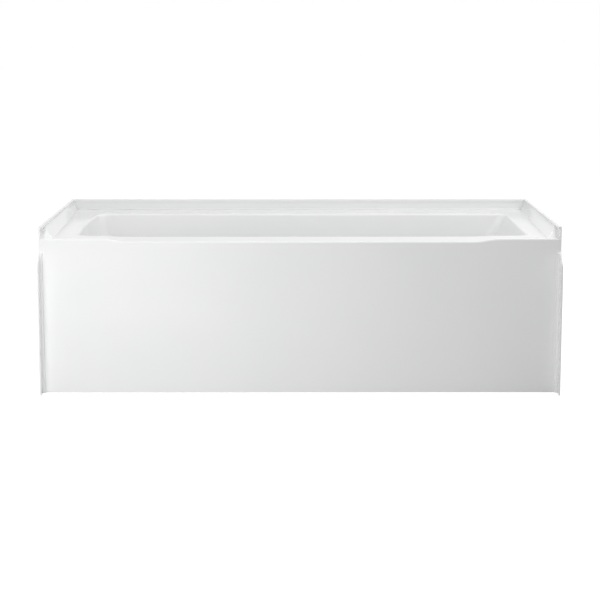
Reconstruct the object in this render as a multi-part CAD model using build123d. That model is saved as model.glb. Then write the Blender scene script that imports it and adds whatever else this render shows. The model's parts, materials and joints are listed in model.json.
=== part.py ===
from build123d import *
import math
import os

# Alcove bathtub: a moulded shell with apron and tile flange, its timber and foot supports,
# and the waste and overflow fittings at the drain end.
# Millimetres, x along the bath with the drain end at -x, y from apron to back wall, z up.
# The origin is under the middle of the bath, on the floor.

# Moulded shell
length = 1524.0
depth = 762.0
rim_height = 458.0
skin = 4.0
edge_radius = 5.0
mouth_radius = 9.0

# Tile flange along the back and both ends, with a bead along its top and a slope at the foot of its ends
flange_height = 35.0
flange_wall = 4.0
flange_corner = 12.0
cove_radius = 6.0
slope_front = 38.0
slope_back = 16.0
slope_end_run = 80.0
bead_height = 6.5
bead_thick = 9.0
bead_round = 2.0

# Scooped middle of the front rim
dip_depth = 9.0
dip_flat = 990.0
dip_ramp = 95.0
dip_run = 96.0

# Fixing flanges that stand forward at the ends of the apron
wing_reach = 46.0
wing_wall = 4.0
wing_knee = 387.0
wing_top = 418.0
wing_fillet = 7.0

# Basin: widths of the deck around it, lean of its walls in degrees, corners and floor
rim_front = 76.0
rim_back = 136.0
rim_left = 94.0
rim_right = 86.0
left_bow = 16.0
corner_top = 35.0
corner_floor = 60.0
lean_left = 11.0
lean_right = 33.0
lean_front = 7.0
lean_back = 7.0
floor_height = 90.0
floor_pitch = 0.5
floor_radius = 50.0

# Fibreglass layer behind the shell
bond = 0.3
backing = 4.0
backing_trim = 12.0

# Timber under the floor, under the deck and behind the apron
board_thick = 15.0
board_margin = 55.0
board_drain_gap = 40.0
board_corner = 20.0
runner_width = 45.0
runner_inset = 25.0
batten_thick = 18.0
batten_gap = 6.0
batten_edge = 3.0
apron_batten_width = 70.0
apron_batten_pitch = 420.0
rail_depth = 38.0
rail_height = 38.0
rail_lift = 3.0
rail_end_gap = 40.0

# Feet and the screws that hold them
foot_radius = 36.0
foot_top_radius = 24.0
foot_height = 18.0
foot_wall = 3.5
foot_sole = 5.0
foot_end_gap = 60.0
feet_per_runner = 3
foot_screw_radius = 2.5
foot_screw_head = 5.0
foot_screw_head_height = 3.0
foot_screw_length = 20.0

# Drain in the basin floor
drain_from_end = 95.0
recess_gap = 8.5
recess_depth = 4.0
drain_hole_gap = 2.8
drain_seal_thick = 1.5
drain_seal_margin = 1.5
drain_throat_radius = 19.5
drain_wall = 3.7
drain_body_length = 29.5
drain_lip_width = 12.3
drain_lip_height = 3.0
drain_lip_bevel = 2.5
drain_land_width = 10.5
drain_land_height = 1.5
spoke_width = 4.0
spoke_height = 5.0
spoke_boss_radius = 6.5
spoke_boss_height = 7.0

# Pipes and their slip joints
pipe_radius = 19.05
pipe_wall = 1.8
socket_depth = 24.0
socket_gap = 2.0
hub_wall = 3.65
washer_thick = 4.0
nut_shell = 4.5
nut_sides = 10
nut_chamfer = 1.5
nut_skirt = 13.0
nut_wall = 3.0
fit = 0.3

# Drain shoe and tee
gasket_thick = 4.0
shoe_wall = 4.5
shoe_flange_width = 3.0
shoe_flange_thick = 5.0
shoe_bend = 16.0
shoe_outlet_length = 62.0
elbow_swell = 1.0
tee_from_end = 62.0
tee_swell = 2.0
tee_body_half = 21.0
tee_run_half = 46.0
tee_branch_length = 50.0

# Overflow in the wall at the drain end
overflow_drop = 98.0
overflow_hole_radius = 26.0
overflow_gasket_thick = 6.0
overflow_flange_width = 8.0
overflow_flange_thick = 5.0
overflow_cup_gap = 3.0
overflow_cup_wall = 4.0
overflow_leg = 62.0
plate_overlap = 5.0
plate_height = 10.0
plate_wall = 2.0
plate_round = 4.0
plate_slot_width = 34.0
plate_slot_height = 5.0
plate_screw_radius = 2.4
plate_screw_head = 4.5
plate_screw_head_height = 2.2
lug_width = 10.0
lug_depth = 13.0
lug_reach = 14.0
screw_clearance = 0.2

# Toe-press stopper
stopper_travel = 10.0
stopper_seat_gap = 0.3
stopper_seal_thick = 3.0
stopper_seal_gap = 1.6
stopper_seal_cover = 4.5
cap_overhang = 2.0
cap_edge = 2.5
cap_rise = 3.5
cap_sleeve_wall = 2.8
cap_sleeve_gap = 4.0
cap_pin_radius = 2.4
cap_pin_length = 12.0
post_radius = 5.5
post_bore_radius = 4.0
post_bore_floor = 4.0
post_top_gap = 0.8
stud_radius = 3.0
stud_length = 10.0
slide_clearance = 0.08
spring_wire = 0.8
spring_turns = 6

# Length by which cutting shapes overrun what they cut, and a length too small to matter
overrun = 10.0
tiny = 0.01

# Positions worked out from the sizes above
half = length / 2
y_apron = -(depth - wing_reach) / 2
y_back = y_apron + depth
x_left = -half + rim_left
x_right = half - rim_right
y_front = y_apron + rim_front
y_rear = y_back - rim_back
y_mid = (y_front + y_rear) / 2
drop = rim_height - floor_height
x_floor_left = x_left + drop * math.tan(math.radians(lean_left))
x_floor_right = x_right - drop * math.tan(math.radians(lean_right))
y_floor_front = y_front + drop * math.tan(math.radians(lean_front))
y_floor_rear = y_rear - drop * math.tan(math.radians(lean_back))
x_drain = x_floor_left + drain_from_end
layer = skin + bond + backing
stack = layer + bond

drain_body_radius = drain_throat_radius + drain_wall
drain_hole_radius = drain_body_radius + drain_hole_gap
drain_lip_radius = drain_body_radius + drain_lip_width
drain_land_radius = drain_throat_radius + drain_land_width
recess_radius = drain_lip_radius + recess_gap
drain_seat = floor_height - recess_depth
drain_lip_z = drain_seat + drain_seal_thick
drain_land_z = drain_lip_z + drain_land_height
drain_bottom = drain_lip_z - drain_body_length

pipe_bore = pipe_radius - pipe_wall
socket_radius = pipe_radius + fit
hub_radius = socket_radius + hub_wall
shoe_top = drain_seat - layer - gasket_thick
shoe_hub_radius = drain_body_radius + fit + shoe_wall
shoe_flange_radius = shoe_hub_radius + shoe_flange_width
shoe_hub_bottom = drain_bottom - socket_gap
pipe_z = shoe_hub_bottom - shoe_bend
x_shoe_end = x_drain - shoe_outlet_length
x_tee = -half + tee_from_end
tee_top = pipe_z + tee_branch_length

overflow_height = rim_height - overflow_drop
overflow_lean = math.radians(lean_left)
x_overflow = x_left + overflow_drop * math.tan(overflow_lean)
overflow_axis = Plane(
    origin=(x_overflow, y_mid, overflow_height),
    x_dir=(0, 1, 0),
    z_dir=(math.cos(overflow_lean), 0, math.sin(overflow_lean)),
)
overflow_reach = (x_overflow - x_tee) / math.cos(overflow_lean)
z_knee = overflow_height - overflow_reach * math.sin(overflow_lean)
overflow_leg_end = z_knee - overflow_leg
gasket_back = -(stack + overflow_gasket_thick)
flange_back = gasket_back - overflow_flange_thick
cup_radius = overflow_hole_radius + overflow_cup_gap
cup_bore = cup_radius - overflow_cup_wall
overflow_flange_radius = cup_radius + overflow_flange_width
plate_radius = overflow_flange_radius + plate_overlap
bow_radius = ((y_rear - y_front) ** 2 / 4 + left_bow**2) / (2 * left_bow)
plate_gap = plate_radius**2 / (2 * bow_radius) + 2 * fit
plate_screw_offset = cup_bore - lug_depth / 2 - screw_clearance

cap_under = drain_land_z + stopper_seat_gap + stopper_seal_thick + stopper_travel
post_base = drain_bottom + spoke_boss_height
post_top = cap_under - stopper_travel - post_top_gap
sleeve_inner = post_radius + slide_clearance
sleeve_outer = sleeve_inner + cap_sleeve_wall
sleeve_bottom = post_base + cap_sleeve_gap + stopper_travel
stopper_seal_inner = sleeve_outer + stopper_seal_gap
stopper_seal_outer = drain_throat_radius + stopper_seal_cover
cap_radius = stopper_seal_outer + cap_overhang
spring_bottom = post_base + post_bore_floor
spring_top = cap_under - cap_pin_length

UP = (Align.CENTER, Align.CENTER, Align.MIN)
DOWN = (Align.CENTER, Align.CENTER, Align.MAX)


def block(low, high):
    """Box between two opposite corners."""
    size = [b - a for a, b in zip(low, high)]
    return Pos(*low) * Box(*size, align=(Align.MIN,) * 3)


def tube(outer, inner, height):
    """Ring or tube standing on the xy plane."""
    return Cylinder(outer, height, align=UP) - Cylinder(inner, height, align=UP)


def floor_z(x):
    """Height of the pitched basin floor."""
    return floor_height + (x - x_drain) * math.tan(math.radians(floor_pitch))


# Shell


def dip_section(y, top, dip, bottom):
    """Upright section across the front rim, whose top sinks by dip in the middle."""
    flat = dip_flat / 2
    knee = flat + dip_ramp / 2
    ramp = flat + dip_ramp
    low = top - dip
    edges = [
        Line((-ramp, bottom), (ramp, bottom)),
        Line((ramp, bottom), (ramp, top)),
        Bezier((ramp, top), (knee, top), (knee, low), (flat, low)),
        Line((flat, low), (-flat, low)),
        Bezier((-flat, low), (-knee, low), (-knee, top), (-ramp, top)),
        Line((-ramp, top), (-ramp, bottom)),
    ]
    return Plane(origin=(0, y, 0), x_dir=(1, 0, 0), z_dir=(0, -1, 0)) * make_face(edges)


def tub_mass(inset, over):
    """Block under the deck and behind the apron, with both faces moved inwards by inset."""
    top = rim_height - inset
    front = y_apron + inset
    split = y_apron + dip_run
    ramp = dip_flat / 2 + dip_ramp
    dip = dip_depth * (1 - inset / dip_run)
    side = half + over
    scoop = [dip_section(front, top, dip, -over), dip_section(split, top, 0, -over)]
    solid = loft(scoop, ruled=True)
    solid += block((-side, split, -over), (side, y_back + over, top))
    solid += block((-side, front, -over), (-ramp, split, top))
    solid += block((ramp, front, -over), (side, split, top))
    edges = [
        edge
        for edge in solid.edges()
        if abs(edge.center().Y - front) < tiny
        and edge.bounding_box().min.Z > top - dip - tiny
        and edge.bounding_box().size.X > tiny
    ]
    return fillet(edges, max(edge_radius - inset, bond))


def basin_outline(fall_left, fall_right, fall_sides, radius, grow):
    """Plan of the basin at given depths below the rim, grown outwards square to its walls."""

    def inset(lean, fall):
        angle = math.radians(lean)
        return fall * math.tan(angle) - grow / math.cos(angle)

    left = x_left + inset(lean_left, fall_left)
    right = x_right - inset(lean_right, fall_right)
    front = y_front + inset(lean_front, fall_sides)
    rear = y_rear - inset(lean_back, fall_sides)
    corner = left + left_bow
    edges = [
        Line((corner, front), (right, front)),
        Line((right, front), (right, rear)),
        Line((right, rear), (corner, rear)),
        ThreePointArc((corner, rear), (left, (front + rear) / 2), (corner, front)),
    ]
    face = make_face(edges)
    return fillet(face.vertices(), radius + grow)


def basin_form(grow):
    """The space of the basin with its drain recess, grown outwards by grow."""
    fall_left = rim_height - floor_z(x_floor_left) + grow
    fall_right = rim_height - floor_z(x_floor_right) + grow
    low = basin_outline(fall_left, fall_right, drop + grow, corner_floor, grow)
    high = basin_outline(-overrun, -overrun, -overrun, corner_top, grow)
    floor = Location((0, 0, floor_z(0) - grow), (0, -floor_pitch, 0)) * low
    mouth = Pos(0, 0, rim_height + overrun) * high
    solid = loft([floor, mouth], ruled=True)
    solid = fillet(solid.faces().sort_by(Axis.Z)[0].edges(), floor_radius + grow)
    recess_height = recess_depth + grow + overrun / 2
    recess = Cylinder(recess_radius + grow, recess_height, align=UP)
    return solid + Pos(x_drain, y_mid, drain_seat - grow) * recess


def mouth_edges(solid):
    """Edges where the deck meets the basin."""
    found = []
    for edge in solid.edges():
        box = edge.bounding_box()
        inside_x = box.min.X > x_left - overrun and box.max.X < x_right + overrun
        inside_y = box.min.Y > y_front - overrun and box.max.Y < y_rear + overrun
        if inside_x and inside_y and box.min.Z > rim_height - dip_depth - tiny:
            found.append(edge)
    return found


def flange_slope():
    """Sloped foot of the right flange, wide at the front and narrow at the back."""
    wall = half - flange_wall
    bead_foot = rim_height + flange_height - bead_height
    sections = []
    for y, width in ((y_apron, slope_front), (y_back - flange_wall, slope_back)):
        corners = [
            (half, rim_height - skin),
            (wall - width, rim_height - skin),
            (wall - width, rim_height),
            (wall, bead_foot),
            (half, bead_foot),
        ]
        upright = Plane(origin=(0, y, 0), x_dir=(1, 0, 0), z_dir=(0, -1, 0))
        sections.append(upright * Polygon(*corners, align=None))
    return loft(sections, ruled=True)


def flange_end_cutter():
    """Space in front of the slopes: the rounded front edge of the deck, then a rise to the bead."""
    bead_foot = rim_height + flange_height - bead_height
    deck_start = y_apron + edge_radius
    edges = [
        Line((y_apron, rim_height - edge_radius), (y_apron - overrun, rim_height - edge_radius)),
        Line((y_apron - overrun, rim_height - edge_radius), (y_apron - overrun, bead_foot)),
        Line((y_apron - overrun, bead_foot), (deck_start + slope_end_run, bead_foot)),
        Line((deck_start + slope_end_run, bead_foot), (deck_start, rim_height)),
        RadiusArc((deck_start, rim_height), (y_apron, rim_height - edge_radius), edge_radius),
    ]
    return extrude(Plane.YZ * make_face(edges), half - flange_wall, both=True)


def tile_flange():
    """Flange with a bead along its top, coved into the deck at the back and sloped at both ends."""
    top = rim_height + flange_height
    bead_foot = top - bead_height
    foot = flange_wall + cove_radius
    front = y_apron - overrun
    base = rim_height - cove_radius
    pocket = block(
        (-half + flange_wall, front, rim_height), (half - flange_wall, y_back - flange_wall, bead_foot)
    )
    pocket = fillet(pocket.edges().filter_by(Axis.Z).group_by(Axis.Y)[-1], flange_corner)
    cove = pocket.faces().sort_by(Axis.Z)[0].edges().sort_by(Axis.Y)[1:]
    pocket = fillet(cove, cove_radius)
    mouth = block(
        (-half + bead_thick, front, bead_foot), (half - bead_thick, y_back - bead_thick, top + overrun)
    )
    mouth_corner = flange_corner - bead_thick + flange_wall
    mouth = fillet(mouth.edges().filter_by(Axis.Z).group_by(Axis.Y)[-1], mouth_corner)
    deck = block((-half + foot, front, base - overrun), (half - foot, y_back - foot, rim_height + overrun))
    ring = block((-half, y_apron, base), (half, y_back, top)) - pocket - mouth - deck
    bead_edges = [
        edge
        for edge in ring.edges()
        if edge.bounding_box().min.Z > top - tiny and edge.center().Y > y_apron + tiny
    ]
    ring = fillet(bead_edges, bead_round)
    slope = flange_slope()
    ring += slope
    ring += mirror(slope, about=Plane.YZ)
    return ring - flange_end_cutter()


def fixing_flange():
    """Fixing flange at the right end of the apron, filleted to it and sloped at the top."""
    inner = half - wing_wall
    tip = y_apron - wing_reach
    edges = [
        Line((half, y_apron + skin), (half, tip)),
        Line((half, tip), (inner, tip)),
        Line((inner, tip), (inner, y_apron - wing_fillet)),
        RadiusArc((inner, y_apron - wing_fillet), (inner - wing_fillet, y_apron), wing_fillet),
        Line((inner - wing_fillet, y_apron), (inner - wing_fillet, y_apron + skin)),
        Line((inner - wing_fillet, y_apron + skin), (half, y_apron + skin)),
    ]
    solid = extrude(make_face(edges), wing_top)
    slope = [
        (y_apron, wing_top),
        (tip, wing_knee),
        (tip - overrun, wing_knee),
        (tip - overrun, wing_top + overrun),
        (y_apron, wing_top + overrun),
    ]
    cut = extrude(Plane.YZ * Polygon(*slope, align=None), length, both=True)
    return solid - cut


def drain_hole():
    """Hole for the drain through shell and backing."""
    return Pos(x_drain, y_mid, 0) * Cylinder(drain_hole_radius, floor_height, align=UP)


def overflow_hole():
    """Hole for the overflow through shell and backing, square to the end wall."""
    return overflow_axis * Cylinder(overflow_hole_radius, 2 * (stack + overrun))


def tub_shell():
    """Basin, deck, tile flange and apron in one moulding."""
    solid = tub_mass(0, 0) - basin_form(0)
    solid = fillet(mouth_edges(solid), mouth_radius)
    solid += tile_flange()
    solid -= tub_mass(skin, overrun) - basin_form(skin)
    wing = fixing_flange()
    solid += wing
    solid += mirror(wing, about=Plane.YZ)
    return solid - drain_hole() - overflow_hole()


def fibreglass_backing():
    """Reinforcing layer bonded behind the shell, trimmed clear of its edges and the floor."""
    near = skin + bond
    solid = tub_mass(near, overrun) - basin_form(near)
    solid -= tub_mass(layer, overrun) - basin_form(layer)
    end = half - backing_trim
    solid &= block((-end, y_apron, backing_trim), (end, y_back - backing_trim, rim_height))
    return solid - drain_hole() - overflow_hole()


# Timber


def timber(low, high):
    """Sawn piece with eased edges."""
    solid = block(low, high)
    return chamfer(solid.edges(), batten_edge)


def board_limits():
    """Ends and sides of the floor board."""
    low = (x_drain + recess_radius + board_drain_gap, y_floor_front + board_margin)
    high = (x_floor_right - board_margin, y_floor_rear - board_margin)
    return low, high


def board_under(x):
    """Height of the underside of the pitched floor board."""
    return floor_z(x) - (stack + board_thick + bond) / math.cos(math.radians(floor_pitch))


def floor_board():
    """Board under the basin floor, parallel to it."""
    (x0, y0), (x1, y1) = board_limits()
    outline = Pos((x0 + x1) / 2, (y0 + y1) / 2) * RectangleRounded(x1 - x0, y1 - y0, board_corner)
    return Location((0, 0, floor_z(0) - stack), (0, -floor_pitch, 0)) * extrude(outline, -board_thick)


def runner_places():
    """Low y side of the front and the rear runner."""
    (_, y0), (_, y1) = board_limits()
    return y0 + runner_inset, y1 - runner_inset - runner_width


def foot_places():
    """Middles of the feet, evenly spaced along both runners."""
    (x0, _), (x1, _) = board_limits()
    step = (x1 - x0 - 2 * foot_end_gap) / (feet_per_runner - 1)
    return [
        (x0 + foot_end_gap + step * number, y + runner_width / 2)
        for y in runner_places()
        for number in range(feet_per_runner)
    ]


def base_runner(y):
    """Bearer between feet and floor board, tapered to the pitch of the floor."""
    (x0, _), (x1, _) = board_limits()
    side = [(x0, foot_height), (x1, foot_height), (x1, board_under(x1)), (x0, board_under(x0))]
    face = Plane(origin=(0, y, 0), x_dir=(1, 0, 0), z_dir=(0, -1, 0)) * Polygon(*side, align=None)
    solid = extrude(face, -runner_width)
    for x, foot_y in foot_places():
        pilot = Cylinder(foot_screw_radius + screw_clearance, foot_screw_length, align=UP)
        solid -= Pos(x, foot_y, foot_height) * pilot
    return solid


def foot():
    """Moulded foot: a hollow cup with a broad sole and a screw hole through its top."""
    half_section = [
        (foot_screw_radius + screw_clearance, foot_height),
        (foot_top_radius, foot_height),
        (foot_top_radius + foot_wall, foot_sole + foot_wall),
        (foot_radius, foot_sole),
        (foot_radius, 0),
        (foot_top_radius, 0),
        (foot_top_radius - foot_wall, foot_height - foot_wall),
        (foot_screw_radius + screw_clearance, foot_height - foot_wall),
    ]
    return revolve(Plane.XZ * Polygon(*half_section, align=None), Axis.Z)


def foot_screw():
    """Pan-head screw that holds a foot to its runner."""
    head = Cylinder(foot_screw_head, foot_screw_head_height, align=DOWN)
    head = fillet(head.edges().sort_by(Axis.Z)[0], foot_screw_head_height / 3)
    shank = Cylinder(foot_screw_radius, foot_screw_length, align=UP)
    return Pos(0, 0, foot_height - foot_wall) * (head + shank)


def on_feet(piece):
    """A copy of one piece at each foot, as a group of separate solids."""
    return Compound(children=[Pos(x, y, 0) * piece for x, y in foot_places()])


def apron_batten(x):
    """Upright stiffener behind the apron."""
    front = y_apron + stack
    low = (x - apron_batten_width / 2, front, rail_lift + rail_height + fit)
    top = rim_height - dip_depth - stack - batten_thick - fit
    return timber(low, (x + apron_batten_width / 2, front + batten_thick, top))


def apron_foot_rail():
    """Rail along the foot of the apron."""
    front = y_apron + stack
    end = half - rail_end_gap
    return timber((-end, front, rail_lift), (end, front + rail_depth, rail_lift + rail_height))


def front_rim_batten():
    """Stiffener under the scooped stretch of the front rim."""
    top = rim_height - dip_depth - stack
    low = (-dip_flat / 2, y_apron + stack, top - batten_thick)
    return timber(low, (dip_flat / 2, y_front - stack - batten_gap, top))


def deck_batten(low, high):
    """Stiffener under the deck between two corners in plan."""
    top = rim_height - stack
    return timber((*low, top - batten_thick), (*high, top))


# Pipe joints


# Frames at the hub ends of the slip joints, with z along the pipe that leaves each hub
shoe_end = Plane(origin=(x_shoe_end, y_mid, pipe_z), z_dir=(-1, 0, 0))
tee_inlet = Plane(origin=(x_tee + tee_run_half, y_mid, pipe_z), z_dir=(1, 0, 0))
tee_outlet = Plane(origin=(x_tee - tee_run_half, y_mid, pipe_z), z_dir=(-1, 0, 0))
tee_branch = Plane(origin=(x_tee, y_mid, tee_top), z_dir=(0, 0, 1))
elbow_end = Plane(origin=(x_tee, y_mid, overflow_leg_end), z_dir=(0, 0, -1))


def slip_washer():
    """Sealing ring between a hub end and its nut."""
    return tube(hub_radius - fit, socket_radius, washer_thick)


def slip_nut():
    """Ribbed nut over a hub end, with a hole for the pipe."""
    height = nut_skirt + washer_thick + nut_wall
    outline = RegularPolygon(hub_radius + fit + nut_shell, nut_sides, major_radius=False)
    solid = extrude(outline, height)
    solid = chamfer(solid.edges().group_by(Axis.Z)[0] + solid.edges().group_by(Axis.Z)[-1], nut_chamfer)
    solid -= Cylinder(hub_radius + fit, nut_skirt + washer_thick, align=UP)
    solid -= Cylinder(socket_radius + fit, height, align=UP)
    return Pos(0, 0, -nut_skirt) * solid


def at_slip_joints(piece):
    """A copy of one piece at each joint between the pipes, as a group of separate solids."""
    places = (shoe_end, tee_inlet, tee_branch, elbow_end)
    return Compound(children=[place * piece for place in places])


def pipe(origin, direction, run):
    """Length of waste pipe."""
    return Plane(origin=origin, z_dir=direction) * tube(pipe_radius, pipe_bore, run)


def socket(place):
    """Space for a pipe in a hub, reaching back from the hub end."""
    return place * Cylinder(socket_radius, socket_depth, align=DOWN)


# Drain


def drain_flange():
    """Drain fitting: lip with a sunk land, threaded body, and spokes that hold the stopper."""
    half_section = [
        (drain_throat_radius, drain_bottom),
        (drain_body_radius, drain_bottom),
        (drain_body_radius, drain_lip_z),
        (drain_lip_radius, drain_lip_z),
        (drain_lip_radius, drain_land_z),
        (drain_lip_radius - drain_lip_bevel, drain_lip_z + drain_lip_height),
        (drain_land_radius + drain_land_height, drain_lip_z + drain_lip_height),
        (drain_land_radius, drain_land_z),
        (drain_throat_radius + drain_land_height, drain_land_z),
        (drain_throat_radius, drain_lip_z),
    ]
    solid = revolve(Plane.XZ * Polygon(*half_section, align=None), Axis.Z)
    span = drain_throat_radius + drain_body_radius
    spokes = Box(span, spoke_width, spoke_height, align=UP) + Box(spoke_width, span, spoke_height, align=UP)
    spokes += Cylinder(spoke_boss_radius, spoke_boss_height, align=UP)
    spokes -= Cylinder(stud_radius + slide_clearance, spoke_boss_height, align=UP)
    return Pos(x_drain, y_mid, 0) * (solid + Pos(0, 0, drain_bottom) * spokes)


def drain_seal():
    """Sealing ring under the drain lip."""
    ring = tube(drain_lip_radius - drain_seal_margin, drain_hole_radius + drain_seal_margin, drain_seal_thick)
    return Pos(x_drain, y_mid, drain_seat) * ring


def shoe_gasket():
    """Gasket between the backing and the drain shoe."""
    ring = tube(shoe_flange_radius, drain_body_radius + fit, gasket_thick)
    return Pos(x_drain, y_mid, shoe_top) * ring


def drain_shoe():
    """Elbow under the drain, with a hub for the drain body and an outlet towards the tee."""
    hub = Pos(x_drain, y_mid, shoe_top)
    knee = Pos(x_drain, y_mid, pipe_z)
    outlet = Plane(origin=(x_drain, y_mid, pipe_z), z_dir=(-1, 0, 0))
    elbow_radius = hub_radius + elbow_swell
    hub_height = shoe_top - shoe_hub_bottom
    neck_height = shoe_top - pipe_z
    solid = hub * Cylinder(shoe_flange_radius, shoe_flange_thick, align=DOWN)
    solid += hub * Cylinder(shoe_hub_radius, hub_height, align=DOWN)
    solid += knee * Cylinder(elbow_radius, neck_height, align=UP)
    solid += knee * Sphere(elbow_radius)
    solid += outlet * Cylinder(hub_radius, shoe_outlet_length, align=UP)
    solid -= hub * Cylinder(drain_body_radius + fit, hub_height, align=DOWN)
    solid -= knee * Cylinder(pipe_bore, neck_height, align=UP)
    solid -= knee * Sphere(pipe_bore)
    solid -= outlet * Cylinder(pipe_bore, shoe_outlet_length, align=UP)
    return solid - socket(shoe_end)


def waste_tube():
    """Level pipe from the drain shoe to the tee."""
    start = x_shoe_end + socket_depth - socket_gap
    end = x_tee + tee_run_half - socket_depth + socket_gap
    return pipe((end, y_mid, pipe_z), (1, 0, 0), start - end)


def waste_tee():
    """Tee that joins the drain, the overflow and the outlet to the house drain."""
    run = Plane(origin=(x_tee, y_mid, pipe_z), z_dir=(1, 0, 0))
    branch = Plane(origin=(x_tee, y_mid, pipe_z), z_dir=(0, 0, 1))
    body_radius = hub_radius + tee_swell
    solid = run * Cylinder(hub_radius, 2 * tee_run_half)
    solid += run * Cylinder(body_radius, 2 * tee_body_half)
    solid += branch * Cylinder(hub_radius, tee_branch_length, align=UP)
    solid += branch * Cylinder(body_radius, tee_branch_length - socket_depth, align=UP)
    solid -= run * Cylinder(pipe_bore, 2 * tee_run_half)
    solid -= branch * Cylinder(pipe_bore, tee_branch_length, align=UP)
    for place in (tee_inlet, tee_outlet, tee_branch):
        solid -= socket(place)
    return solid


# Overflow


def overflow_tube():
    """Upright pipe from the tee to the overflow elbow."""
    start = tee_top - socket_depth + socket_gap
    end = overflow_leg_end + socket_depth - socket_gap
    return pipe((x_tee, y_mid, start), (0, 0, 1), end - start)


def overflow_gasket():
    """Gasket between the end wall and the overflow elbow."""
    ring = tube(overflow_flange_radius, overflow_hole_radius, overflow_gasket_thick)
    return overflow_axis * Pos(0, 0, gasket_back) * ring


def overflow_elbow():
    """Elbow behind the end wall, with a flange, two screw lugs and a leg down to the pipe."""
    cup_length = overflow_reach + gasket_back
    face = overflow_axis * Pos(0, 0, gasket_back)
    knee = Pos(x_tee, y_mid, z_knee)
    solid = face * Cylinder(overflow_flange_radius, overflow_flange_thick, align=DOWN)
    solid += face * Cylinder(cup_radius, cup_length, align=DOWN)
    solid += knee * Sphere(cup_radius)
    solid += knee * Cylinder(hub_radius, overflow_leg, align=DOWN)
    solid -= face * Cylinder(cup_bore, cup_length, align=DOWN)
    solid -= knee * Sphere(cup_bore)
    solid -= knee * Cylinder(pipe_bore, overflow_leg, align=DOWN)
    solid -= socket(elbow_end)
    lug_base = cup_radius - overflow_cup_wall / 2
    lug = Box(lug_depth, lug_width, lug_reach, align=(Align.MAX, Align.CENTER, Align.MAX))
    lug = Pos(lug_base, 0, flange_back) * lug
    lug -= Pos(plate_screw_offset, 0, gasket_back) * Cylinder(
        plate_screw_radius + screw_clearance, lug_reach + 2 * overrun, align=DOWN
    )
    for turn in (0, 180):
        solid += overflow_axis * Rot(0, 0, turn) * lug
    return solid


def overflow_plate():
    """Domed cover over the overflow, with a slot along its lower edge and two screw holes."""
    outer = Cylinder(plate_radius, plate_height, align=UP)
    outer = fillet(outer.edges().sort_by(Axis.Z)[-1], plate_round)
    inner = Cylinder(plate_radius - plate_wall, plate_height - plate_wall, align=UP)
    inner = fillet(inner.edges().sort_by(Axis.Z)[-1], plate_round - plate_wall)
    solid = outer - inner
    lower = (Align.CENTER, Align.MAX, Align.MIN)
    solid -= Box(plate_slot_width, plate_radius, plate_slot_height, align=lower)
    for sign in (-1, 1):
        solid -= Pos(sign * plate_screw_offset, 0, 0) * Cylinder(
            plate_screw_radius + screw_clearance, plate_height, align=UP
        )
    return overflow_axis * Pos(0, 0, plate_gap) * solid


def overflow_screw():
    """Screw that draws the overflow cover to the elbow."""
    top = plate_gap + plate_height
    bottom = flange_back - lug_reach
    head = Pos(0, 0, top) * Cylinder(plate_screw_head, plate_screw_head_height, align=UP)
    head = fillet(head.edges().sort_by(Axis.Z)[-1], plate_screw_head_height / 2)
    return head + Pos(0, 0, top) * Cylinder(plate_screw_radius, top - bottom, align=DOWN)


def overflow_screws():
    """The two cover screws as a group of separate solids."""
    screw = overflow_screw()
    places = [Pos(sign * plate_screw_offset, 0, 0) for sign in (-1, 1)]
    return Compound(children=[overflow_axis * place * screw for place in places])


# Stopper


def stopper_cap():
    """Domed cap with a sleeve over the post and a pin that presses on the spring."""
    crown = cap_edge + cap_rise
    crown_radius = (cap_radius**2 + cap_rise**2) / (2 * cap_rise)
    solid = Cylinder(cap_radius, crown, align=UP) & Pos(0, 0, crown - crown_radius) * Sphere(crown_radius)
    solid = Pos(0, 0, cap_under) * chamfer(solid.edges().sort_by(Axis.Z)[0], cap_edge / 2)
    sleeve = tube(sleeve_outer, sleeve_inner, cap_under - sleeve_bottom)
    solid += Pos(0, 0, sleeve_bottom) * sleeve
    solid += Pos(0, 0, spring_top) * Cylinder(cap_pin_radius, cap_pin_length, align=UP)
    return Pos(x_drain, y_mid, 0) * solid


def stopper_seal():
    """Sealing ring under the cap."""
    ring = tube(stopper_seal_outer, stopper_seal_inner, stopper_seal_thick)
    return Pos(x_drain, y_mid, cap_under - stopper_seal_thick) * ring


def stopper_post():
    """Post screwed into the spokes of the drain, bored for the spring."""
    solid = Pos(0, 0, post_base) * Cylinder(post_radius, post_top - post_base, align=UP)
    solid += Pos(0, 0, post_base) * Cylinder(stud_radius, stud_length, align=DOWN)
    solid -= Pos(0, 0, spring_bottom) * Cylinder(post_bore_radius, post_top - spring_bottom, align=UP)
    return Pos(x_drain, y_mid, 0) * solid


def stopper_spring():
    """Coil spring in the post that lifts the cap."""
    radius = post_bore_radius - fit - spring_wire / 2
    height = spring_top - spring_bottom - spring_wire - 2 * fit
    path = Helix(height / spring_turns, height, radius)
    section = Plane(origin=path @ 0, z_dir=path % 0) * Circle(spring_wire / 2)
    coil = sweep(section, path=path, is_frenet=True)
    return Pos(x_drain, y_mid, spring_bottom + fit + spring_wire / 2) * coil


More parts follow.
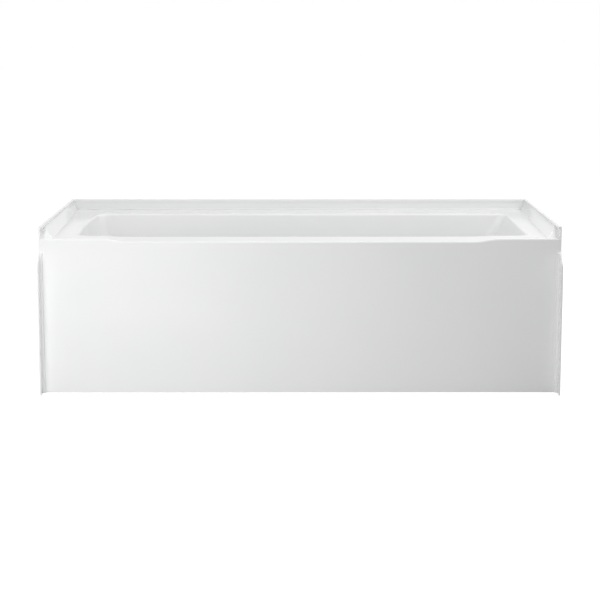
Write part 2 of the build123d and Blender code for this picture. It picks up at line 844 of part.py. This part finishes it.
def all_pieces():
    """Every piece by its name."""
    runner_front, runner_rear = runner_places()
    wall_gap = stack + batten_gap
    edge = half - backing_trim - batten_gap
    return {
        "tub_shell": tub_shell(),
        "fibreglass_backing": fibreglass_backing(),
        "floor_board": floor_board(),
        "front_base_runner": base_runner(runner_front),
        "rear_base_runner": base_runner(runner_rear),
        "support_feet": on_feet(foot()),
        "foot_screws": on_feet(foot_screw()),
        "apron_battens": Compound(
            children=[apron_batten(place * apron_batten_pitch) for place in (-1, 0, 1)]
        ),
        "apron_foot_rail": apron_foot_rail(),
        "front_rim_batten": front_rim_batten(),
        "back_deck_batten": deck_batten(
            (x_left, y_rear + wall_gap), (x_right, y_back - backing_trim - batten_gap)
        ),
        "left_deck_batten": deck_batten((-edge, y_front), (x_left - wall_gap, y_rear)),
        "right_deck_batten": deck_batten((x_right + wall_gap, y_front), (edge, y_rear)),
        "drain_flange": drain_flange(),
        "drain_seal": drain_seal(),
        "shoe_gasket": shoe_gasket(),
        "drain_shoe": drain_shoe(),
        "waste_tube": waste_tube(),
        "waste_tee": waste_tee(),
        "slip_nuts": at_slip_joints(slip_nut()),
        "slip_washers": at_slip_joints(slip_washer()),
        "outlet_nut": tee_outlet * slip_nut(),
        "outlet_washer": tee_outlet * slip_washer(),
        "overflow_tube": overflow_tube(),
        "overflow_gasket": overflow_gasket(),
        "overflow_elbow": overflow_elbow(),
        "overflow_plate": overflow_plate(),
        "overflow_screws": overflow_screws(),
        "stopper_cap": stopper_cap(),
        "stopper_seal": stopper_seal(),
        "stopper_post": stopper_post(),
        "stopper_spring": stopper_spring(),
    }


os.makedirs("parts", exist_ok=True)
for name, piece in all_pieces().items():
    export_step(piece, f"parts/{name}.step")
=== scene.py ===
import json
import math

import bmesh
import bpy
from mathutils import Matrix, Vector

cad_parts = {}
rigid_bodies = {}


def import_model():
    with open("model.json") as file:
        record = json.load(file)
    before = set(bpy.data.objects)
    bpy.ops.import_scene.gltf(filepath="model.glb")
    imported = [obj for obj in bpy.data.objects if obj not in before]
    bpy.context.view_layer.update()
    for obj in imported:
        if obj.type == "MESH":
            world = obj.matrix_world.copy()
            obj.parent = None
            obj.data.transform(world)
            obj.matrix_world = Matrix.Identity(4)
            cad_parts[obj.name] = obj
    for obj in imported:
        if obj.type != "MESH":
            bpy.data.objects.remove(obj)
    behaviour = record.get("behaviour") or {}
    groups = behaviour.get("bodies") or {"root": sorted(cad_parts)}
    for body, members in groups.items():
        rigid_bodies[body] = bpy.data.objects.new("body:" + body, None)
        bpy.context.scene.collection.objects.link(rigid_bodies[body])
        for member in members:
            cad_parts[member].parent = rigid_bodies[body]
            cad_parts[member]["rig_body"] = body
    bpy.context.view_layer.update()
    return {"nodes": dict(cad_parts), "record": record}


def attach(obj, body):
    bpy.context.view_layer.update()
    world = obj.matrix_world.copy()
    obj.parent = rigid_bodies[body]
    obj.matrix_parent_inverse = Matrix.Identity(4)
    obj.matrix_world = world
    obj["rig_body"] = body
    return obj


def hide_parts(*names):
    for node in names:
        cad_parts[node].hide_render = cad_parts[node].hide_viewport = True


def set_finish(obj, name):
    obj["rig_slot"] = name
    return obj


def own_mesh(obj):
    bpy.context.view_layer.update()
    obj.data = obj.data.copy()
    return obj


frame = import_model()
nodes = frame["nodes"]
scene = bpy.context.scene

# Camera, in metres, degrees and millimetres of lens
CAMERA_PLACE = (-0.018, -5.230, 1.096)
CAMERA_TILT = 80.46
CAMERA_TURN = -0.207
CAMERA_LENS = 101.16

# Soft boxes by place, aim, width and height in metres, watts, and whether reflections show them
SOFT_BOXES = {
    "front_light": ((-0.6, -3.6, 2.4), (-0.2, -0.2, 0.3), 1.8, 1.2, 15.0, False),
    "apron_light": ((-0.85, -2.0, 0.45), (-0.5, -0.36, 0.25), 1.0, 0.8, 16.0, False),
    "rear_top_light": ((0.0, 1.2, 3.0), (0.0, 0.0, 0.4), 3.4, 1.2, 24.0, True),
    "left_top_light": ((-1.7, -0.6, 2.4), (-0.4, 0.0, 0.4), 1.2, 1.2, 6.0, True),
    "right_top_light": ((1.7, -0.6, 2.4), (0.4, 0.0, 0.4), 1.2, 1.2, 19.5, True),
    "right_light": ((3.2, 0.1, 1.25), (0.0, 0.1, 0.45), 2.4, 0.9, 8.5, True),
    "rear_low_light": ((0.3, 2.6, 0.22), (0.0, 0.3, 0.2), 2.4, 0.4, 20.0, False),
}

# Fill light from all round, and the floor's width in metres, tone and glow to the camera
FILL_STRENGTH = 0.35
FLOOR_SIZE = 60.0
FLOOR_TONE = 0.30
FLOOR_GLOW = 0.92

# Cross recesses in the screw heads, in metres; the taper is the share of the width left at the bottom
RECESS_REACH = 0.0026
RECESS_WIDTH = 0.0011
RECESS_DEPTH = 0.0013
RECESS_TAPER = 0.55

# Points closer than these belong to one screw head, or are one point, in metres
HEAD_SPACING = 0.015
WELD = 0.000005

# Lean of the end wall that carries the overflow, and the turn from which an edge is sharp, in degrees
OVERFLOW_LEAN = 11.0
SMOOTH_ANGLE = 35.0

# Glass strands: the ways they lie in degrees, how they are drawn out, and the step between layers
STRAND_ANGLES = (8, 41, 79, 118, 152)
STRAND_STRETCH = (22.0, 380.0, 1.0)
STRAND_STEP = 9.0

# Softwood: growth rings over the range of the noise, and patterns per metre along and across the grain
RINGS = 9.0
RING_PATTERN = (1.1, 26.0)
FIBRE_PATTERN = (9.0, 420.0)

# Axis that the grain of each timber piece follows
TIMBER_ALONG = {
    "front_base_runner": 0,
    "rear_base_runner": 0,
    "apron_battens": 2,
    "apron_foot_rail": 0,
    "front_rim_batten": 0,
    "back_deck_batten": 0,
    "left_deck_batten": 1,
    "right_deck_batten": 1,
}

# Strand board: the ways its flakes lie in degrees, and how flakes and their grain are drawn out
FLAKE_ANGLES = (24, -31, 78)
FLAKE_STRETCH = (15.0, 72.0, 72.0)
FLAKE_GRAIN = (40.0, 600.0, 600.0)

# Plastics and rubber by slot: dark and light tone, roughness, scale and depth of the grain
MOULDED = {
    "foot_plastic": ((0.035,) * 3, (0.055,) * 3, 0.55, 900.0, 0.0006),
    "seal_rubber": ((0.022,) * 3, (0.034,) * 3, 0.70, 1400.0, 0.0004),
    "pipe_plastic": ((0.78, 0.78, 0.76), (0.83, 0.83, 0.81), 0.32, 500.0, 0.0002),
    "nut_plastic": ((0.74, 0.74, 0.72), (0.80, 0.80, 0.78), 0.42, 700.0, 0.0003),
}

# How far the roughness of plastics and rubber goes up and down
ROUGH_SPREAD = 0.06

# Metals by slot: name, dark and light tone, least and most roughness, scales of the polishing marks
METALS = {
    "screw_steel": ("zinc_plate", (0.58, 0.57, 0.50), (0.70, 0.70, 0.66), 0.25, 0.42, (200.0,) * 3),
    "chrome": ("chrome", (0.80, 0.81, 0.82), (0.84, 0.85, 0.86), 0.04, 0.10, (90.0,) * 3),
    "post_brass": ("turned_brass", (0.66, 0.47, 0.20), (0.76, 0.57, 0.27), 0.18, 0.34, (60, 60, 2400)),
    "spring_steel": ("spring_steel", (0.40, 0.40, 0.41), (0.54, 0.54, 0.54), 0.22, 0.36, (400.0,) * 3),
}

# Values of a noise at which a plain material has its dark and its light tone
TONE_PLACES = (0.35, 0.65)


# Short ways to write node trees


def node(tree, kind, inputs=None, **settings):
    """One shader node; an input is a plain value or another node's output."""
    made = tree.nodes.new("ShaderNode" + kind)
    for name, value in settings.items():
        setattr(made, name, value)
    for name, value in (inputs or {}).items():
        if isinstance(value, bpy.types.NodeSocket):
            tree.links.new(value, made.inputs[name])
        else:
            made.inputs[name].default_value = value
    return made


def new_material(name, **values):
    """A material with a Principled shader, and the values that are the same all over it."""
    made = bpy.data.materials.new(name)
    made.use_nodes = True
    shader = made.node_tree.nodes["Principled BSDF"]
    for socket, value in values.items():
        shader.inputs[socket.replace("_", " ")].default_value = value
    return made, made.node_tree, shader


def combine(tree, operation, first, second=0.0):
    """One or two values worked into one."""
    made = node(tree, "Math", operation=operation)
    for socket, value in zip(made.inputs, (first, second)):
        if isinstance(value, bpy.types.NodeSocket):
            tree.links.new(value, socket)
        else:
            socket.default_value = value
    return made.outputs["Value"]


def highest(tree, first, *others):
    """The highest of several values."""
    for other in others:
        first = combine(tree, "MAXIMUM", first, other)
    return first


def weighed(tree, first, second, share):
    """The first value by its share, and the second by the rest."""
    part = combine(tree, "MULTIPLY", first, share)
    rest = combine(tree, "MULTIPLY", second, 1 - share)
    return combine(tree, "ADD", part, rest)


def spread(tree, value, low, high):
    """Values from 0 to 1 brought between low and high."""
    return node(tree, "MapRange", {"Value": value, "To Min": low, "To Max": high}).outputs["Result"]


def stretched(tree, place, scale, turn=(0, 0, 0), shift=(0, 0, 0)):
    """Places turned first, then stretched and shifted."""
    angles = [math.radians(angle) for angle in turn]
    turned = node(tree, "Mapping", {"Vector": place, "Rotation": angles}).outputs["Vector"]
    values = {"Vector": turned, "Scale": scale, "Location": shift}
    return node(tree, "Mapping", values).outputs["Vector"]


def coordinates(tree, scale=(1, 1, 1), turn=(0, 0, 0)):
    """Places in metres, turned and stretched."""
    return stretched(tree, node(tree, "TexCoord").outputs["Object"], scale, turn)


def flat_coordinates(tree):
    """Places in metres laid flat on the side, end or bottom that the surface belongs to."""
    place = node(tree, "SeparateXYZ", {"Vector": node(tree, "TexCoord").outputs["Object"]}).outputs
    normal = node(tree, "NewGeometry").outputs["Normal"]
    facing = node(tree, "VectorMath", {"Vector": normal}, operation="ABSOLUTE").outputs["Vector"]
    size = node(tree, "SeparateXYZ", {"Vector": facing}).outputs
    end = combine(tree, "GREATER_THAN", size["X"], highest(tree, size["Y"], size["Z"]))
    bottom = combine(tree, "GREATER_THAN", size["Z"], highest(tree, size["X"], size["Y"]))
    across = node(tree, "Mix", {"Factor": end, "A": place["X"], "B": place["Y"]}).outputs["Result"]
    up = node(tree, "Mix", {"Factor": bottom, "A": place["Z"], "B": place["Y"]}).outputs["Result"]
    return node(tree, "CombineXYZ", {"X": across, "Y": up}).outputs["Vector"]


def noise(tree, place, scale=1.0, detail=2.0, distortion=0.0):
    """Cloudy values from 0 to 1."""
    values = {"Vector": place, "Scale": scale, "Detail": detail, "Distortion": distortion}
    return node(tree, "TexNoise", values).outputs["Fac"]


def paint(tree, shader, value, stops):
    """Colours the shader by value; each stop is a place from 0 to 1 and a colour."""
    made = node(tree, "ValToRGB", {"Fac": value})
    elements = made.color_ramp.elements
    while len(elements) < len(stops):
        elements.new(0.5)
    for element, (place, color) in zip(elements, stops):
        element.position = place
        element.color = (*color, 1.0)
    tree.links.new(made.outputs["Color"], shader.inputs["Base Color"])


def roughen(tree, shader, value, low, high):
    """Gives the shader a roughness from low to high as the value goes from 0 to 1."""
    tree.links.new(spread(tree, value, low, high), shader.inputs["Roughness"])


def bump(tree, shader, height, strength, distance):
    """Fine relief on the shader's normal."""
    values = {"Height": height, "Strength": strength, "Distance": distance}
    tree.links.new(node(tree, "Bump", values).outputs["Normal"], shader.inputs["Normal"])


# Materials


def acrylic():
    """Glossy white sanitary acrylic with a faint unevenness of tone, gloss and surface."""
    made, tree, shader = new_material("white_acrylic", IOR=1.49)
    place = coordinates(tree)
    stops = [(0.3, (0.885, 0.89, 0.892)), (0.7, (0.905, 0.907, 0.906))]
    paint(tree, shader, noise(tree, place, scale=3.0), stops)
    roughen(tree, shader, noise(tree, place, scale=24.0, detail=3.0), low=0.10, high=0.17)
    bump(tree, shader, noise(tree, place, scale=240.0), strength=0.02, distance=0.0006)
    return made


def fibreglass():
    """Sprayed resin with chopped glass strands lying every way."""
    made, tree, shader = new_material("chopped_fibreglass", IOR=1.53)
    flat = flat_coordinates(tree)
    layers = []
    for number, angle in enumerate(STRAND_ANGLES):
        place = stretched(tree, flat, STRAND_STRETCH, (0, 0, angle), (0, 0, STRAND_STEP * number))
        layers.append(noise(tree, place, detail=1.0))
    cloud = noise(tree, coordinates(tree), scale=9.0, detail=4.0)
    mixed = weighed(tree, highest(tree, *layers), cloud, share=0.75)
    stops = [(0.50, (0.54, 0.50, 0.39)), (0.60, (0.70, 0.66, 0.56)), (0.70, (0.86, 0.84, 0.77))]
    paint(tree, shader, mixed, stops)
    roughen(tree, shader, mixed, low=0.65, high=0.35)
    bump(tree, shader, mixed, strength=0.5, distance=0.003)
    return made


def drawn_out(axis, pattern):
    """Scales for a pattern with one count along the axis and another across it."""
    along, across = pattern
    scale = [across] * 3
    scale[axis] = along
    return scale


def timber(name, axis):
    """Sawn softwood with its grain along one axis."""
    made, tree, shader = new_material(name)
    waves = noise(tree, coordinates(tree, drawn_out(axis, RING_PATTERN)), detail=3.0, distortion=0.8)
    rings = combine(tree, "FRACT", combine(tree, "MULTIPLY", waves, RINGS))
    fibres = noise(tree, coordinates(tree, drawn_out(axis, FIBRE_PATTERN)))
    mixed = weighed(tree, rings, fibres, share=0.6)
    stops = [(0.2, (0.72, 0.55, 0.34)), (0.55, (0.66, 0.47, 0.27)), (0.9, (0.50, 0.32, 0.16))]
    paint(tree, shader, mixed, stops)
    roughen(tree, shader, fibres, low=0.55, high=0.75)
    bump(tree, shader, mixed, strength=0.25, distance=0.0012)
    return made


def strand_board():
    """Board pressed from wood strands that overlap, each of its own tone."""
    made, tree, shader = new_material("strand_board")
    layers = []
    for angle in FLAKE_ANGLES:
        place = coordinates(tree, FLAKE_STRETCH, (0, 0, angle))
        flakes = node(tree, "TexVoronoi", {"Vector": place, "Scale": 1.0, "Randomness": 1.0})
        layers.append(node(tree, "SeparateColor", {"Color": flakes.outputs["Color"]}).outputs["Red"])
    shade = highest(tree, *layers)
    grain = noise(tree, coordinates(tree, FLAKE_GRAIN, (0, 0, FLAKE_ANGLES[0])))
    mixed = weighed(tree, shade, grain, share=0.7)
    stops = [(0.40, (0.42, 0.26, 0.12)), (0.66, (0.63, 0.45, 0.25)), (0.88, (0.78, 0.62, 0.40))]
    paint(tree, shader, mixed, stops)
    roughen(tree, shader, shade, low=0.55, high=0.75)
    bump(tree, shader, mixed, strength=0.35, distance=0.0015)
    return made


def moulded(name, dark, light, rough, grain_scale, grain_depth):
    """Moulded plastic or rubber with a fine grain."""
    made, tree, shader = new_material(name)
    place = coordinates(tree)
    stops = list(zip(TONE_PLACES, (dark, light)))
    paint(tree, shader, noise(tree, place, scale=30.0, detail=3.0), stops)
    roughen(tree, shader, noise(tree, place, scale=120.0), rough - ROUGH_SPREAD, rough + ROUGH_SPREAD)
    bump(tree, shader, noise(tree, place, grain_scale), strength=0.2, distance=grain_depth)
    return made


def metal(name, dark, light, smooth, rough, marks):
    """Bare or plated metal with a slightly uneven polish."""
    made, tree, shader = new_material(name, Metallic=1.0)
    stops = list(zip(TONE_PLACES, (dark, light)))
    paint(tree, shader, noise(tree, coordinates(tree), scale=60.0, detail=3.0), stops)
    polish = noise(tree, coordinates(tree, marks), detail=3.0)
    roughen(tree, shader, polish, smooth, rough)
    bump(tree, shader, polish, strength=0.03, distance=0.0002)
    return made


def dress():
    """Gives every CAD node its finished material."""
    grains = [timber("softwood_" + axis, number) for number, axis in enumerate("xyz")]
    finishes = {"acrylic": acrylic(), "fibreglass": fibreglass(), "strand_board": strand_board()}
    for slot, values in MOULDED.items():
        finishes[slot] = moulded(slot, *values)
    for slot, values in METALS.items():
        finishes[slot] = metal(*values)
    for row in frame["record"]["subparts"]:
        name = row["node"]
        slot = row["material_slot"]
        finish = grains[TIMBER_ALONG[name]] if name in TIMBER_ALONG else finishes[slot]
        nodes[name].material_slots[0].material = finish
        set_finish(nodes[name], slot)


# Pieces made from CAD nodes


def copy_of(node_name, name):
    """A new piece with the shape and finish of a CAD node, which it replaces."""
    cad = nodes[node_name]
    piece = bpy.data.objects.new(name, cad.data.copy())
    scene.collection.objects.link(piece)
    shape = bmesh.new()
    shape.from_mesh(piece.data)
    bmesh.ops.remove_doubles(shape, verts=shape.verts, dist=WELD)
    shape.to_mesh(piece.data)
    shape.free()
    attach(piece, cad["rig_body"])
    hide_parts(node_name)
    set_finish(piece, cad["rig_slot"])
    return piece


def head_middles(piece, axis):
    """Middle of the flat top of each screw head that looks along the axis."""
    top = max(vertex.co.dot(axis) for vertex in piece.data.vertices)
    heads = []
    for vertex in piece.data.vertices:
        if vertex.co.dot(axis) < top - WELD:
            continue
        near = [head for head in heads if (head[0] - vertex.co).length < HEAD_SPACING]
        if near:
            near[0].append(vertex.co.copy())
        else:
            heads.append([vertex.co.copy()])
    return [sum(head, Vector()) / len(head) for head in heads]


def cross_cutter(places, axis):
    """Tapered crosses to be cut out of the screw heads."""
    arm = RECESS_WIDTH / 2
    reach = RECESS_REACH
    quarter = [(reach, -arm), (reach, arm), (arm, arm)]
    turns = [(1, 0), (0, 1), (-1, 0), (0, -1)]
    outline = [(x * c - y * s, x * s + y * c) for c, s in turns for x, y in quarter]
    turn = axis.to_track_quat("Z", "Y")
    shape = bmesh.new()
    for place in places:
        rings = []
        for height, scale in ((RECESS_DEPTH, 2 - RECESS_TAPER), (-RECESS_DEPTH, RECESS_TAPER)):
            ring = [Vector((x * scale, y * scale, height)) for x, y in outline]
            rings.append([shape.verts.new(place + turn @ point) for point in ring])
        upper, lower = rings
        shape.faces.new(upper)
        shape.faces.new(reversed(lower))
        for number in range(len(outline)):
            back = number - 1
            shape.faces.new((upper[back], lower[back], lower[number], upper[number]))
    mesh = bpy.data.meshes.new("cross_cutter")
    shape.to_mesh(mesh)
    shape.free()
    cutter = bpy.data.objects.new("cross_cutter", mesh)
    scene.collection.objects.link(cutter)
    return cutter


def overflow_direction():
    """The way the overflow screws look: square to the leaning end wall."""
    lean = math.radians(OVERFLOW_LEAN)
    return Vector((math.cos(lean), 0, math.sin(lean)))


def recessed_screws(node_name, name, axis):
    """Screws with a cross recess in each head."""
    piece = copy_of(node_name, name)
    cutter = cross_cutter(head_middles(piece, axis), axis)
    modifier = piece.modifiers.new("recess", "BOOLEAN")
    modifier.operation = "DIFFERENCE"
    modifier.solver = "EXACT"
    modifier.object = cutter
    bpy.context.view_layer.update()
    evaluated = piece.evaluated_get(bpy.context.evaluated_depsgraph_get())
    mesh = bpy.data.meshes.new_from_object(evaluated)
    piece.modifiers.clear()
    piece.data = mesh
    bpy.data.objects.remove(cutter)
    normals = mesh.attributes.get("custom_normal")
    if normals:
        mesh.attributes.remove(normals)
    mesh.shade_smooth()
    mesh.set_sharp_from_angle(angle=math.radians(SMOOTH_ANGLE))


def press_spring():
    """A copy of the stopper's spring with a mesh of its own; the real spring shortens as the cap is
    pressed.
    """
    piece = copy_of("stopper_spring", "press_spring")
    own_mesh(piece)


# Stage


def seen_rays(tree):
    """1 where the camera sees a surface, by itself or in a reflection or through glass, else 0."""
    path = node(tree, "LightPath").outputs
    return highest(tree, path["Is Camera Ray"], path["Is Glossy Ray"], path["Is Transmission Ray"])


def studio_world():
    """Even fill light that shows as plain white."""
    world = bpy.data.worlds.new("studio")
    world.use_nodes = True
    tree = world.node_tree
    strength = spread(tree, seen_rays(tree), low=FILL_STRENGTH, high=1.0)
    background = tree.nodes["Background"]
    background.inputs["Color"].default_value = (1, 1, 1, 1)
    tree.links.new(strength, background.inputs["Strength"])
    scene.world = world


def studio_floor():
    """Wide pale floor that shows white and keeps a soft shadow."""
    bpy.ops.mesh.primitive_plane_add(size=FLOOR_SIZE)
    floor = bpy.context.object
    floor.name = "studio_floor"
    made = bpy.data.materials.new("studio_floor")
    made.use_nodes = True
    tree = made.node_tree
    tree.nodes.clear()
    tone = node(tree, "BsdfDiffuse", {"Color": (FLOOR_TONE, FLOOR_TONE, FLOOR_TONE, 1)})
    glow = node(tree, "Emission", {"Strength": spread(tree, seen_rays(tree), low=0.0, high=FLOOR_GLOW)})
    both = node(tree, "AddShader")
    tree.links.new(tone.outputs["BSDF"], both.inputs[0])
    tree.links.new(glow.outputs["Emission"], both.inputs[1])
    node(tree, "OutputMaterial", {"Surface": both.outputs["Shader"]})
    floor.data.materials.append(made)


def soft_box(name, place, aim, width, height, watts, shines):
    """Rectangular studio light pointed at a place."""
    data = bpy.data.lights.new(name, "AREA")
    data.shape = "RECTANGLE"
    data.size = width
    data.size_y = height
    data.energy = watts
    light = bpy.data.objects.new(name, data)
    light.location = place
    light.rotation_euler = (Vector(aim) - Vector(place)).to_track_quat("-Z", "Y").to_euler()
    light.visible_camera = False
    light.visible_glossy = shines
    scene.collection.objects.link(light)


def camera():
    """The photograph's viewpoint."""
    data = bpy.data.cameras.new("camera")
    data.lens = CAMERA_LENS
    made = bpy.data.objects.new("camera", data)
    made.location = CAMERA_PLACE
    made.rotation_euler = (math.radians(CAMERA_TILT), 0, math.radians(CAMERA_TURN))
    scene.collection.objects.link(made)
    scene.camera = made


dress()
recessed_screws("overflow_screws", "overflow_cross_screws", overflow_direction())
recessed_screws("foot_screws", "foot_cross_screws", Vector((0, 0, -1)))
press_spring()
studio_world()
studio_floor()
for light_name, settings in SOFT_BOXES.items():
    soft_box(light_name, *settings)
camera()
scene.view_settings.view_transform = "Standard"
